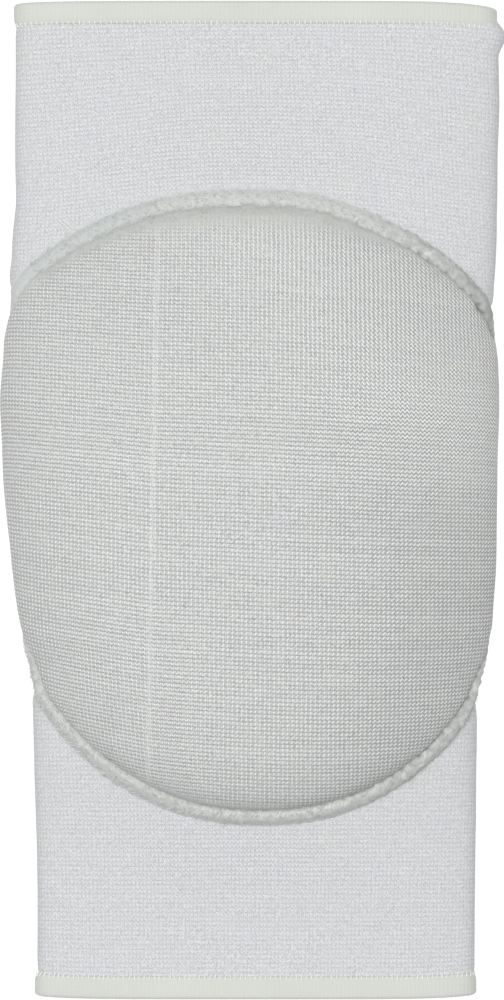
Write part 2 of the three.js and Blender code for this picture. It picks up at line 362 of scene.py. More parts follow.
def knitPaint(name, look):
    # Rows of knitted loops. Each loop has two legs, and the one turned to the light is brighter.
    paint, tree, shader = clothPaint(name, look["roughness"], look["sheen"])
    uv = tree.nodes.new("ShaderNodeUVMap")
    uv.uv_map = "clothMm"
    split = tree.nodes.new("ShaderNodeSeparateXYZ")
    tree.links.new(uv.outputs["UV"], split.inputs[0])
    across, along = split.outputs[0], split.outputs[1]
    place = tree.nodes.new("ShaderNodeTexCoord").outputs["Object"]

    def random(first, second):
        # three random numbers between -0.5 and 0.5 for each pair of whole numbers
        node = tree.nodes.new("ShaderNodeTexWhiteNoise")
        node.noise_dimensions = "2D"
        spot = tree.nodes.new("ShaderNodeCombineXYZ")
        tree.links.new(first, spot.inputs[0])
        tree.links.new(second, spot.inputs[1])
        tree.links.new(spot.outputs[0], node.inputs["Vector"])
        parts = tree.nodes.new("ShaderNodeSeparateXYZ")
        tree.links.new(node.outputs["Color"], parts.inputs[0])
        return [calc(tree, "SUBTRACT", part, 0.5) for part in parts.outputs]

    def peak(share, sharpness):
        # 1 at the ends of a step, falling to 0 at its middle
        return calc(tree, "POWER", calc(tree, "ABSOLUTE", calc(tree, "MULTIPLY", share, 2.0)), sharpness)

    balance, slant, rowShare = (readMark(tree, mark) for mark in ("balance", "slant", "rowShare"))
    slow = calc(tree, "SUBTRACT", speckle(tree, place, look["wanderScale"]), 0.5)
    rows = calc(tree, "DIVIDE", along, look["rowStep"])
    rows = calc(tree, "MULTIPLY_ADD", slow, look["wander"], rows)
    row = calc(tree, "FLOOR", rows)
    inRow = calc(tree, "SUBTRACT", calc(tree, "SUBTRACT", rows, row), 0.5)
    rowRandom = random(row, calc(tree, "MULTIPLY", row, 0.37))
    columns = calc(tree, "DIVIDE", across, look["columnStep"])
    columns = calc(tree, "MULTIPLY_ADD", slow, -look["wander"], columns)
    columns = calc(tree, "MULTIPLY_ADD", rowRandom[0], look["rowSlip"], columns)
    flat = calc(tree, "MULTIPLY_ADD", rowShare, look["flat"] - look["flatWeak"], look["flatWeak"])
    aside = calc(tree, "MULTIPLY_ADD", slant, inRow, look["legsApart"])

    def leg(side):
        shifted = calc(tree, "MULTIPLY_ADD", aside, -side, columns)
        number = calc(tree, "FLOOR", shifted)
        chance = random(calc(tree, "ADD", number, 0.3 * side), row)
        off = calc(tree, "SUBTRACT", calc(tree, "SUBTRACT", shifted, number), 0.5)
        off = calc(tree, "MULTIPLY_ADD", chance[0], look["jitter"], off)
        up = calc(tree, "MULTIPLY_ADD", chance[1], look["jitter"], inRow)
        spread = calc(tree, "MULTIPLY", calc(tree, "MULTIPLY", up, up), flat)
        spread = calc(tree, "MULTIPLY_ADD", calc(tree, "MULTIPLY", off, off), look["narrow"], spread)
        shape = calc(tree, "EXPONENT", calc(tree, "MULTIPLY", spread, -1.0))
        weight = calc(tree, "MULTIPLY_ADD", balance, -knit["legShare"] * side, look["evenLeg"])
        weight = calc(tree, "MINIMUM", calc(tree, "MAXIMUM", weight, knit["faintest"]), 1.0)
        uneven = calc(tree, "MULTIPLY_ADD", chance[2], look["uneven"], 1.0)
        weight = calc(tree, "MULTIPLY", weight, uneven)
        return calc(tree, "MULTIPLY", shape, weight), chance

    leftLeg, loopRandom = leg(-1.0)
    rightLeg = leg(1.0)[0]
    loop = calc(tree, "ADD", leftLeg, rightLeg)
    loop = calc(tree, "MULTIPLY_ADD", rowRandom[1], look["rowUneven"], loop)
    loop = calc(tree, "MULTIPLY_ADD", calc(tree, "ABSOLUTE", balance), look["evenUp"], loop)

    # the grooves between rows, and the stronger one between pairs of rows, are sunk in the bump and also
    # painted in as shade in the colour
    halfRows = calc(tree, "MULTIPLY", rows, 0.5)
    inPair = calc(tree, "SUBTRACT", calc(tree, "SUBTRACT", halfRows, calc(tree, "FLOOR", halfRows)), 0.5)
    groove = calc(tree, "MULTIPLY", peak(inRow, knit["rowPeak"]), rowShare)
    groove = calc(tree, "MULTIPLY", groove, look["rowGroove"])
    groove = calc(tree, "MULTIPLY_ADD", peak(inPair, knit["pairPeak"]), look["pairGroove"], groove)
    relief = calc(tree, "SUBTRACT", loop, groove)
    if "creaseWidth" in look:
        # an old fold line, where the loops are pressed flat and pale
        off = calc(tree, "DIVIDE", readMark(tree, "creaseOff"), look["creaseWidth"])
        crease = calc(tree, "EXPONENT", calc(tree, "MULTIPLY", calc(tree, "MULTIPLY", off, off), -1.0))
        crease = calc(tree, "MULTIPLY", crease, look["creaseShare"])
        relief = calc(tree, "MULTIPLY", relief, calc(tree, "SUBTRACT", 1.0, crease))
        relief = calc(tree, "MULTIPLY_ADD", crease, look["creaseTone"], relief)

    streakSpot = tree.nodes.new("ShaderNodeCombineXYZ")
    tree.links.new(calc(tree, "DIVIDE", across, look["streakLength"]), streakSpot.inputs[0])
    tree.links.new(calc(tree, "DIVIDE", along, look["rowStep"]), streakSpot.inputs[1])
    streak = calc(tree, "SUBTRACT", speckle(tree, streakSpot.outputs[0], 1.0), 0.5)
    fuzz = speckle(tree, place, look["fuzzScale"], 3.0)
    grain = calc(tree, "SUBTRACT", speckle(tree, place, look["grainScale"], 0.0), 0.5)
    contrast = calc(tree, "MULTIPLY_ADD", slant, look["slantContrast"], look["contrast"])
    ground = calc(tree, "MULTIPLY_ADD", slant, -look["slantDeep"], look["ground"])
    tone = calc(tree, "MULTIPLY_ADD", relief, contrast, ground)
    tone = calc(tree, "MULTIPLY_ADD", streak, look["streak"], tone)
    tone = calc(tree, "MULTIPLY_ADD", calc(tree, "SUBTRACT", fuzz, 0.5), look["fuzz"], tone)
    tone = calc(tree, "MULTIPLY_ADD", grain, look["grain"], tone)
    # the gap colour stands for the painted shade in the gaps and grooves between the loops
    yarn = blendColour(tree, tone, look["gap"], look["yarn"])
    brushed = raggedMark(tree, "brushed", fuzz, look["ragged"])
    nap = blendColour(tree, fuzz, look["napDark"], look["napLight"])
    colour = blendColour(tree, brushed, yarn, nap)
    patch = calc(tree, "SUBTRACT", speckle(tree, place, look["tintScale"], 3.0), 0.5)
    cool = calc(tree, "MULTIPLY", patch, look["tinting"])
    cool = calc(tree, "MULTIPLY_ADD", loopRandom[2], look["loopTint"], cool)
    warm = calc(tree, "MULTIPLY", cool, -1.0)
    colour = blendColour(tree, calc(tree, "MAXIMUM", cool, 0.0), colour, look["coolTint"])
    colour = blendColour(tree, calc(tree, "MAXIMUM", warm, 0.0), colour, look["warmTint"])
    # painted shade in the crease along the cord
    colour = blendColour(tree, readMark(tree, "seamShade"), colour, look["paintedShade"])
    tree.links.new(colour, shader.inputs["Base Color"])
    rough = calc(tree, "MULTIPLY_ADD", relief, knit["roughSwing"], look["roughness"])
    tree.links.new(rough, shader.inputs["Roughness"])
    height = calc(tree, "MULTIPLY", relief, calc(tree, "SUBTRACT", 1.0, brushed))
    height = calc(tree, "MULTIPLY_ADD", fuzz, knit["fuzzHeight"], height)
    bumped(tree, shader, height, look["relief"])
    return paint


def yarnPaint(name, look):
    # soft thread: fine fibres over a slow change of tone
    paint, tree, shader = clothPaint(name, look["roughness"], look["sheen"])
    place = tree.nodes.new("ShaderNodeTexCoord").outputs["Object"]
    fibres = speckle(tree, place, look["fibreScale"], 4.0)
    patches = speckle(tree, place, look["patchScale"], 2.0)
    mottle = look["mottle"]
    if "mottleTight" in look:
        # where the cord is drawn tight it is more mottled, and painted darker as shade on the right,
        # where it turns from the light
        tight = readMark(tree, "tight")
        mottle = calc(tree, "MULTIPLY_ADD", tight, look["mottleTight"], mottle)
        fibres = calc(tree, "MULTIPLY_ADD", tight, -look["tightPaintedShade"], fibres)
    tone = calc(tree, "MULTIPLY_ADD", calc(tree, "SUBTRACT", patches, 0.5), mottle, fibres)
    colour = blendColour(tree, tone, look["dark"], look["light"])
    if "pitPaintedShade" in look:
        colour = blendColour(tree, readMark(tree, "cool"), colour, look["coolColour"])
        outer = raggedMark(tree, "outerEdge", fibres, look["ragged"])
        inner = raggedMark(tree, "innerEdge", fibres, look["ragged"])
        colour = blendColour(tree, outer, colour, look["outerColour"])
        colour = blendColour(tree, inner, colour, look["innerColour"])
        # painted shade in the stitch pits and on the cord's right side
        colour = blendColour(tree, readMark(tree, "pit"), colour, look["pitPaintedShade"])
    tree.links.new(colour, shader.inputs["Base Color"])
    roughByFibres(tree, shader, fibres, look["roughness"])
    bumped(tree, shader, fibres, look["relief"])
    return paint


def tapePaint(name, look):
    # elastic tape: fine ribs across it, close rubber threads along it
    paint, tree, shader = clothPaint(name, look["roughness"], look["sheen"])
    uv = tree.nodes.new("ShaderNodeUVMap")
    uv.uv_map = "clothMm"
    split = tree.nodes.new("ShaderNodeSeparateXYZ")
    tree.links.new(uv.outputs["UV"], split.inputs[0])
    place = tree.nodes.new("ShaderNodeTexCoord").outputs["Object"]
    fibres = speckle(tree, place, look["fibreScale"], 3.0)
    patches = speckle(tree, place, look["patchScale"], 3.0)

    def wave(direction, step):
        return calc(tree, "SINE", calc(tree, "MULTIPLY", direction, 2 * math.pi / step))

    ribs, threads = wave(split.outputs[0], look["ribStep"]), wave(split.outputs[1], look["threadStep"])
    relief = calc(tree, "MULTIPLY", threads, look["threads"])
    relief = calc(tree, "MULTIPLY_ADD", ribs, look["ribs"], relief)
    relief = calc(tree, "MULTIPLY_ADD", fibres, look["fibres"], relief)
    tone = calc(tree, "MULTIPLY_ADD", relief, look["contrast"], look["ground"])
    tone = calc(tree, "MULTIPLY_ADD", patches, look["patches"], tone)
    tree.links.new(blendColour(tree, tone, look["dark"], look["light"]), shader.inputs["Base Color"])
    roughByFibres(tree, shader, fibres, look["roughness"])
    bumped(tree, shader, relief, look["relief"])
    return paint


def paintWith(piece, paint):
    piece.data.materials.clear()
    piece.data.materials.append(paint)
    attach(piece, "root")


# Sleeve: a knitted tube, laid over the sleeve's solid

sleeve = {
    "name": "sleeve_knit",
    "ringPoints": 208,
    "stations": 180,
    "girth": 248.0,  # mm round the flat-knitted tube
    "length": 248.0,
    "wall": 1.6 * mm,
    "coreHalf": 46 * mm,  # the middle of the flat section, from which its folds are looked at
    "coreHeight": 8 * mm,
    "lookFrom": 200 * mm,  # from how far out the solid is looked at
    "looks": 60,  # for each part of the way round
    "rimSafe": 3 * mm,  # how far inside its rim it is still looked at
    "evenAlong": 14,  # smoothing passes
    "evenRound": 10,
    "evenSag": 6,
    "rimInset": 0.01,
    "dropReach": 26 * mm,  # how far back from a rim the cloth follows its sag
    # slope of the knit rows near the thigh end: (mm from the middle round the tube, slope)
    "bow": (
        (-90, 0), (-62, 0.03), (-47, 0.08), (-31, 0.13), (-16, 0.06), (0, -0.02), (15, -0.03),
        (31, -0.12), (46, -0.16), (62, -0.1), (90, 0),
    ),
    "bowFrom": (130, 200),  # mm along, where the bow begins
    "bowTo": (215, 246),  # and where it grows less
    "bowLess": 0.85,
    "lean": 0.05,  # how far the columns lean near the thigh end
    "leanChange": -0.0008,  # for each mm across
    "leanFrom": 150,  # mm along
    "leanWithin": (62, 90),  # mm round
    "thighFine": 0.05,  # how much finer the columns are there
    "fineFrom": (130, 230),
    "pucker": 0.16 * mm,
    "puckerStep": 5.6 * mm,
    "puckerReach": (2 * mm, 10 * mm),
    "ripple": 0.22 * mm,
    "rippleScale": (28, 34),  # across and along
    "stillBelow": (2 * mm, 6 * mm),  # the back lies flat on the floor
    "balanceThigh": 0.08,  # how far one leg of a loop outshines the other
    "balanceCalf": 0.1,
    "slant": 0.25,
    "balanceChange": (-60 * mm, 60 * mm),
    "strongSlant": 0.14,  # how much more the legs lean, and show, beside the pad's two ends
    "strongPlaces": ((86 * mm, 18 * mm), (-88 * mm, 9 * mm)),  # middle and reach along
    "strongWide": 28 * mm,
    "calfStretch": 0.1,  # how much longer the knit's rows are drawn at the calf end
    "look": {
        "rowStep": 1.05,
        "columnStep": 1.02,
        "rowSlip": 0.06,
        "wander": 0.6,
        "wanderScale": 60.0,
        "jitter": 0.1,
        "narrow": 34.0,
        "flat": 6.0,
        "flatWeak": 3.0,
        "legsApart": 0.19,
        "uneven": 0.4,
        "rowUneven": 0.05,
        "evenUp": 0.11,
        "evenLeg": 0.75,
        "rowGroove": 0.03,
        "pairGroove": 0.04,
        "contrast": 0.08,
        "slantContrast": 3.0,
        "slantDeep": 1.17,
        "ground": 0.525,
        "streakLength": 9.0,
        "streak": 0.2,
        "fuzzScale": 1500.0,
        "fuzz": 0.35,
        "grainScale": 3500.0,
        "grain": 1.8,
        "ragged": 2.0,
        "yarn": (0.665, 0.675, 0.685, 1),
        # painted shade between the loops
        "gap": (0.43, 0.44, 0.45, 1),
        "napDark": (0.52, 0.53, 0.525, 1),
        "napLight": (0.59, 0.60, 0.59, 1),
        "tintScale": 150.0,
        "tinting": 0.7,
        "loopTint": 0.4,
        "coolTint": (0.53, 0.545, 0.60, 1),
        "warmTint": (0.56, 0.58, 0.54, 1),
        # the colour of the painted shade along the cord
        "paintedShade": (0.42, 0.43, 0.45, 1),
        "roughness": 0.92,
        "sheen": 0.1,
        "relief": 0.09 * mm,
    },
}


def sectionLooks():
    # where to look from and which way, all round a flat section from the middle of its top
    far = sleeve["lookFrom"]
    core, up = sleeve["coreHalf"], sleeve["coreHeight"]
    steps = np.linspace(0, 1, sleeve["looks"], endpoint=False)

    def roundFold(side, start):
        found = []
        for turn in start - math.pi * steps:
            out = (math.cos(turn), math.sin(turn))
            found.append(((side * core + far * out[0], up + far * out[1]), (-out[0], -out[1])))
        return found

    looks = [((x, far), (0, -1)) for x in core * steps]
    looks += roundFold(1, math.pi / 2)
    looks += [((x, -far), (0, 1)) for x in core * (1 - 2 * steps)]
    looks += roundFold(-1, -math.pi / 2)
    looks += [((x, far), (0, -1)) for x in core * (steps - 1)]
    return looks


def sleeveRings():
    tree = treeOf(nodes["sleeve"])
    low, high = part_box("sleeve")
    middle = (low.x + high.x) / 2
    looks = sectionLooks()
    safe = high.y - sleeve["rimSafe"]
    places = np.linspace(low.y, high.y, sleeve["stations"] + 1)
    rings = []
    for y in np.clip(places, -safe, safe):
        ring = []
        for (x, z), (dx, dz) in looks:
            hit = tree.ray_cast(Vector((x + middle, y, z)), Vector((dx, 0, dz)))[0]
            if hit:
                ring.append((hit.x, hit.z))
        rings.append(evenSteps(np.array(ring), sleeve["ringPoints"]))
    rings = np.array(rings)
    rings = evened(rings, sleeve["evenAlong"], False)
    rings = evened(rings.swapaxes(0, 1), sleeve["evenRound"], True).swapaxes(0, 1)
    for y, ring in zip(places, rings):
        ring[:, 0] = trimmed(np.stack([ring[:, 0], ring[:, 0] * 0 + y, ring[:, 1]], axis=1))[:, 0]
    return places, rings


def rimSag(node, ring, sign):
    # how far the rim hangs back, for each point of a ring
    tree = treeOf(nodes[node])
    inside = ring.mean(axis=0)
    reach = []
    for point in ring:
        x, z = point + (inside - point) * sleeve["rimInset"]
        hit = tree.ray_cast(Vector((x, sign * sleeve["lookFrom"], z)), Vector((0, -sign, 0)))[0]
        reach.append(abs(hit.y) if hit else np.nan)
    reach = np.array(reach)
    known = ~np.isnan(reach)
    index = np.arange(len(ring))
    reach = np.interp(index, index[known], reach[known], period=len(ring))
    return evened(reach.max() - reach, sleeve["evenSag"], True)


def interpRing(values, share):
    # values is a closed ring, and share goes from 0 to 1 round it
    count = len(values)
    place = share * count
    first = np.floor(place).astype(int)
    part = (place - first).reshape(-1, *([1] * (values.ndim - 1)))
    return values[first % count] * (1 - part) + values[(first + 1) % count] * part


places, rings = sleeveRings()
sag = {1: rimSag("thigh_hem", rings[-1], 1), -1: rimSag("calf_hem", rings[0], -1)}


def sleeveShape(s, t):
    station = np.rint(t * sleeve["stations"]).astype(int)
    point = np.rint(s * sleeve["ringPoints"]).astype(int) % sleeve["ringPoints"]
    x, z = rings[station, point].T
    y = places[station]
    for sign, drop in sag.items():
        near = eased(sign * y, places[-1] - sleeve["dropReach"], places[-1])
        y = y - sign * drop[point] * near
    return np.stack([x, y, z], axis=1)


sleeveSize = (sleeve["girth"], sleeve["length"])
sleevePiece = clothGrid(
    sleeve["name"], sleeve["ringPoints"], sleeve["stations"], sleeveShape, sleeveSize
)
print("stage: sleeve laid")


# Corded seam: its line is read from its solid, as it is cut by upright planes round the pad

seam = {
    "name": "seam_cord",
    "looks": 480,
    "evenLine": 4,  # smoothing passes
    "evenFeet": 12,
    "evenNormals": 30,
    "evenLaid": 40,
    "cornerIn": 1.45 * mm,  # the photo's upper right corner is cut closer than the solid's
    "cornerFrom": (30, 44),  # degrees round the pad from its right side
    "cornerTo": (64, 80),
    "stitchStep": 2.8 * mm,
    "stationsPerStitch": 12,
    "sides": 28,
    "width": 3.7 * mm,
    "height": 2.9 * mm,
    "lift": 0.1 * mm,
    "bulge": 0.02,
    "lumps": 0.05,
    "lumpScale": 0.7,
    "lumpsFirm": 0.22,  # how much lumpier it is where it is drawn tight
    "nap": 0.09 * mm,
    "napScale": 900,
    "twist": 0.7,
    "pit": 0.24,
    "firmFrom": 50 * mm,  # from the thigh end on the cord gets firmer down to here
    "firmTo": 5 * mm,
    "firmLeft": 0.15,
    "firmRight": 0.7,
    "firmAcross": (10 * mm, 42 * mm),
    "firmThighRight": 0.65,
    "firmThighAcross": (22 * mm, 45 * mm),
    "thighFrom": (45 * mm, 72 * mm),  # where the cord takes the thigh end's shape
    "calfFrom": (-10 * mm, 40 * mm),  # and the calf end's, measured towards it
    "lowFrom": (0, 45 * mm),
    "fillet": 1.0,  # how much its inner side widens to fill the step up to the pad
    "sideFillet": 0.5,
    "calfFillet": 0.25,
    "flare": 1.3 * mm,  # how far that side rises up the pad
    "overCover": 12 * mm,  # from how high the cover is looked for
    "softFoot": 2.6,
    "softSpread": 0.6,  # how much wider and lower a soft cord lies
    "sideSpread": 0.35,
    "calfSpread": 0.55,
    "fill": 0.6 * mm,  # how roundly it fills the crease towards the cover
    "softLow": 0.4,
    "dip": 0.9,  # how far its outer side comes down to the knit
    "dipFirm": 0.4,
    "crown": 0.72,  # shares of the height: above and below its widest line, and the line itself
    "belly": 0.26,
    "middle": 0.27,
    "flatTop": 0.75,  # how flat a soft cord is on its inner side
    "runOut": (0.65, 1),  # where its edge sinks under the cover's face
    "sunk": 0.15 * mm,
    "laidAcross": -3 * mm,  # where the cover is looked for, to see if the cord can lie over it
    "pitLength": 0.16,  # share of a stitch
    "pitTurn": 0.8 * math.pi,
    "pitSpread": 0.3,
    "pitShow": 1.3,
    "sidePaintedShade": 0.4,  # painted shade where it turns over the right side, away from the light
    "paintedShadeAcross": (48 * mm, 60 * mm),
    "paintedShadeAlong": (0, 20 * mm),
    "outerFade": 1.3 * mm,
    "innerFade": (0.35, 0.8),
    "cool": 0.45,  # how bluish it is at the upper left
    "coolAcross": (15 * mm, 35 * mm),
    "coolAlong": (0, 30 * mm),
    "threadStep": 1.05 * mm,
    "threadsBelow": -35 * mm,
    "threadsLeftOf": 25 * mm,
    "threadRadius": 0.12 * mm,
    "threadSlant": 0.9 * mm,
    # from where to where they lie across the cord: low on the left
    "threadOutside": (2.6 * mm, 1.1 * mm),
    "threadInside": (0.2 * mm, -1.7 * mm),  # and under the pad's middle
    "threadChange": (-22 * mm, -4 * mm),
    "threadPoints": 7,
    "threadLookFrom": 8 * mm,
    "threadProud": 0.04 * mm,
    "threadSunk": 0.1 * mm,  # at its ends
    "threadGaps": 0.2,  # share that is missing
    "fibres": 8500,
    "brushedFrom": 25 * mm,
    "brushedFibres": 0.4,  # share that lies on the cover's brushed edge there
    "brushedAcross": (1.2 * mm, 5.5 * mm),
    "fibresAcross": (0.2 * mm, 1.5 * mm),  # middle and spread
    "fibreLookFrom": 6 * mm,
    "fibreLength": 0.9 * mm,
    "fibreRadius": 0.035 * mm,
    "fibreRoot": 0.1 * mm,
    "fibresWithin": 54 * mm,
    "look": {
        "light": (0.69, 0.705, 0.68, 1),
        "dark": (0.39, 0.405, 0.395, 1),
        "outerColour": (0.60, 0.615, 0.625, 1),
        "innerColour": (0.505, 0.515, 0.495, 1),
        "coolColour": (0.46, 0.485, 0.49, 1),
        "ragged": 2.2,
        "mottle": 0.3,
        "mottleTight": 2.2,
        # painted shade where the cord is drawn tight, on the right
        "tightPaintedShade": 0.32,
        "fibreScale": 2200.0,
        "patchScale": 480.0,
        "relief": 0.14 * mm,
        "roughness": 0.95,
        "sheen": 0.2,
        # the colour of the painted shade in the stitch pits
        "pitPaintedShade": (0.16, 0.165, 0.155, 1),
    },
    "pileLook": {
        "light": (0.62, 0.635, 0.615, 1),
        "dark": (0.48, 0.49, 0.475, 1),
        "mottle": 1.0,
        "fibreScale": 2200.0,
        "patchScale": 420.0,
        "relief": 0.02 * mm,
        "roughness": 0.95,
        "sheen": 0.2,
    },
    "threadLook": {
        "light": (0.82, 0.83, 0.81, 1),
        "dark": (0.60, 0.61, 0.595, 1),
        "mottle": 0.8,
        "fibreScale": 2600.0,
        "patchScale": 400.0,
        "relief": 0.05 * mm,
        "roughness": 0.85,
        "sheen": 0.2,
    },
}


def firmShare(points):
    # the cord is drawn tight on the right, most of all low down, and stays soft elsewhere
    calf = eased(-points[:, 1], -seam["firmFrom"], -seam["firmTo"])
    right = eased(points[:, 0], *seam["firmAcross"])
    firm = calf * (seam["firmLeft"] + (seam["firmRight"] - seam["firmLeft"]) * right)
    return np.maximum(firm, seam["firmThighRight"] * eased(points[:, 0], *seam["firmThighAcross"]))


def cordReach(points):
    # how far the cord spreads from its line, towards the pad and away from it
    soft = 1 - firmShare(points)
    thigh = eased(points[:, 1], *seam["thighFrom"])
    calf = eased(-points[:, 1], *seam["calfFrom"])

    def changed(side, thighEnd, calfEnd):
        return seam[side] + (seam[thighEnd] - seam[side]) * thigh + (seam[calfEnd] - seam[side]) * calf

    half = seam["width"] / 2
    inner = half * (1 + changed("sideFillet", "fillet", "calfFillet") * soft)
    outer = half * (1 + changed("sideSpread", "softSpread", "calfSpread") * soft)
    return inner, outer


def cornerShift(points, share=1.0):
    # towards the pad's middle, at its upper right corner
    low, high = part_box("pad")
    off = points[:, :2] - np.array([(low.x + high.x) / 2, (low.y + high.y) / 2])
    angle = np.degrees(np.arctan2(off[:, 1], off[:, 0]))
    corner = eased(angle, *seam["cornerFrom"]) * (1 - eased(angle, *seam["cornerTo"]))
    amount = seam["cornerIn"] * corner * share
    inwards = -off / np.maximum(np.linalg.norm(off, axis=1), 1e-6)[:, None]
    moved = points.copy()
    moved[:, :2] += inwards * amount[:, None]
    return moved


def seamLine():
    mesh = nodes["pad_seam"].data
    points = pointsOf(nodes["pad_seam"])
    edges = np.empty(len(mesh.edges) * 2, int)
    mesh.edges.foreach_get("vertices", edges)
    edges = edges.reshape(-1, 2)
    low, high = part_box("pad")
    centre = np.array([(low.x + high.x) / 2, (low.y + high.y) / 2, 0])
    line = []
    for i in range(seam["looks"]):
        turn = 2 * math.pi * i / seam["looks"]
        ahead = np.array([math.cos(turn), math.sin(turn), 0])
        off = (points - centre) @ np.array([-ahead[1], ahead[0], 0])
        first, second = off[edges[:, 0]], off[edges[:, 1]]
        crossing = first * second < 0
        share = (first[crossing] / (first[crossing] - second[crossing]))[:, None]
        start, end = points[edges[crossing, 0]], points[edges[crossing, 1]]
        cut = start + (end - start) * share
        cut = cut[(cut - centre) @ ahead > 0]
        line.append((cut.min(axis=0) + cut.max(axis=0)) / 2)
    return cornerShift(trimmed(evened(np.array(line), seam["evenLine"], True)))


def seamFrames():
    # the cord's foot on the knit, with the directions out of the knit and away from the pad
    knit = treeOf(sleevePiece)
    line = seamLine()
    length = np.linalg.norm(np.diff(np.vstack([line, line[:1]]), axis=0), axis=1).sum()
    stitches = round(length / seam["stitchStep"])
    line = evenSteps(line, stitches * seam["stationsPerStitch"])
    feet, normals = [], []
    for point in line:
        foot, normal, _, _ = knit.find_nearest(Vector(point))
        feet.append(foot)
        normals.append(normal)
    feet = evened(np.array(feet), seam["evenFeet"], True)
    normals = evened(np.array(normals), seam["evenNormals"], True)
    along = np.roll(feet, -1, axis=0) - np.roll(feet, 1, axis=0)
    along /= np.linalg.norm(along, axis=1)[:, None]
    away = np.cross(along, normals)
    away /= np.linalg.norm(away, axis=1)[:, None]
    up = np.cross(away, along)
    return stitches, length, feet, up, away


stitches, seamLength, feet, upSeam, awaySeam = seamFrames()


def onSeam(share, across, height):
    # a place given along the seam, across it away from the pad, and above the knit
    aside = interpRing(awaySeam, share) * across[:, None]
    return interpRing(feet, share) + aside + interpRing(upSeam, share) * height[:, None]


def seamPlaces(points):
    # for each point: the nearest place along the seam, and how far across, above and away it is
    tree = KDTree(len(feet))
    for i, foot in enumerate(feet):
        tree.insert(foot, i)
    tree.balance()
    station = np.array([tree.find(Vector(point))[1] for point in points])
    off = points - feet[station]
    across = (off * awaySeam[station]).sum(axis=1)
    height = (off * upSeam[station]).sum(axis=1)
    return station, across, height, np.linalg.norm(off, axis=1)


def markPoints(piece, **marks):
    for name, values in marks.items():
        attribute = piece.data.attributes.new(name, "FLOAT", "POINT")
        attribute.data.foreach_set("value", values.astype(np.float32))


# Pad: foam in its cover, swollen by a cloth simulation

pad = {
    "name": "pad_cover",
    "voxel": 2.1 * mm,
    "shrink": 0.5 * mm,
    "pressure": 4.0,
    "frames": 20,
    "mostMove": 1.4 * mm,
    "held": 2.2 * mm,  # how near the knit the cover is held by its seam
    "tuck": 0.35 * mm,  # how far the cover's edge goes under the cord's side
    "mostTuck": 2.4 * mm,
    "tuckHeight": 5.0 * mm,
    "tuckReach": 8 * mm,
    "tuckFoot": 1.0 * mm,
    "evenTuck": 16,  # smoothing passes
    "evenCrown": 10,
    "slices": 60,
    "creaseX": -24.5 * mm,
    "creaseSlope": 0.0175,
    "slant": 0.24,  # how far a loop's legs lean, in columns for each row
    "slantRight": 0.36,
    "balance": 0.48,  # how far one leg of a loop outshines the other
    "slantAcross": (0, 0.75),  # shares of the pad's half width
    "balanceThighLeft": 0.34,
    "balanceThighRight": 0.62,
    "balanceAcross": (-0.6, 0.5),
    "balanceCalfLeft": 0.3,
    "calfLeftAcross": (0.05, 0.5),
    "calfLeftEdge": (0.65, 0.85),
    "calfLeftAlong": (18 * mm, 40 * mm),
    "evenLine": 15.5 * mm,  # where both legs are as bright
    "evenLineSlope": 0.06,
    "evenReach": 16 * mm,
    "weakRows": 0.98,  # how far the rows fade towards the upper right
    "weakRowsFrom": (0.4, 1.2),
    "weakRowsLean": 0.9,
    "stretchFrom": 20 * mm,
    "stretchLeft": 0.29,
    "stretchRight": 0.0068,  # for each mm of drop
    "turnBack": (0, 0.25),
    "alongStretch": 0.14,
    "rowSlopeLeft": 0.11,
    "rowSlopeRight": 0.05,
    "rowTwist": 0.09,  # how the rows' slope changes from end to end, towards the sides
    "twistMiddle": 0.1,
    "ribsFrom": (-26 * mm, -20 * mm),  # ribs at the calf end, from here across
    "ribsTo": (4 * mm, 12 * mm),
    "ribsBelow": -60 * mm,
    "ribsBeside": (4.2 * mm, 5.4 * mm),
    "cornerFade": (-30 * mm, -2 * mm),  # how far in from the seam the cover follows its corner
    "brushedReach": 7 * mm,
    "look": {
        "rowStep": 1.08,
        "columnStep": 1.13,
        "rowSlip": 0.04,
        "wander": 0.3,
        "wanderScale": 70.0,
        "jitter": 0.04,
        "narrow": 36.0,
        "flat": 8.0,
        "flatWeak": 2.3,
        "legsApart": 0.25,
        "uneven": 0.25,
        "rowUneven": 0.06,
        "evenUp": 0.11,
        "evenLeg": 0.75,
        "rowGroove": 0.2,
        "pairGroove": 0.06,
        "contrast": 0.62,
        "slantContrast": 1.6,  # the dots are stronger where the legs slant more
        "slantDeep": 0.62,
        "ground": 0.31,
        "streakLength": 7.0,
        "streak": 0.12,
        "fuzzScale": 1600.0,
        "fuzz": 0.2,
        "grainScale": 3500.0,
        "grain": 1.0,
        "ragged": 1.5,
        "creaseWidth": 0.6,
        "creaseShare": 0.5,
        "creaseTone": 0.4,
        "yarn": (0.80, 0.805, 0.795, 1),
        # painted shade between the loops
        "gap": (0.30, 0.305, 0.305, 1),
        "napDark": (0.455, 0.465, 0.447, 1),
        "napLight": (0.555, 0.565, 0.54, 1),
        "tintScale": 130.0,
        "tinting": 0.5,
        "loopTint": 0.4,
        "coolTint": (0.56, 0.56, 0.62, 1),
        "warmTint": (0.60, 0.62, 0.55, 1),
        # the colour of the painted shade along the cord
        "paintedShade": (0.32, 0.33, 0.33, 1),
        "roughness": 0.92,
        "sheen": 0.1,
        "relief": 0.14 * mm,
    },
}


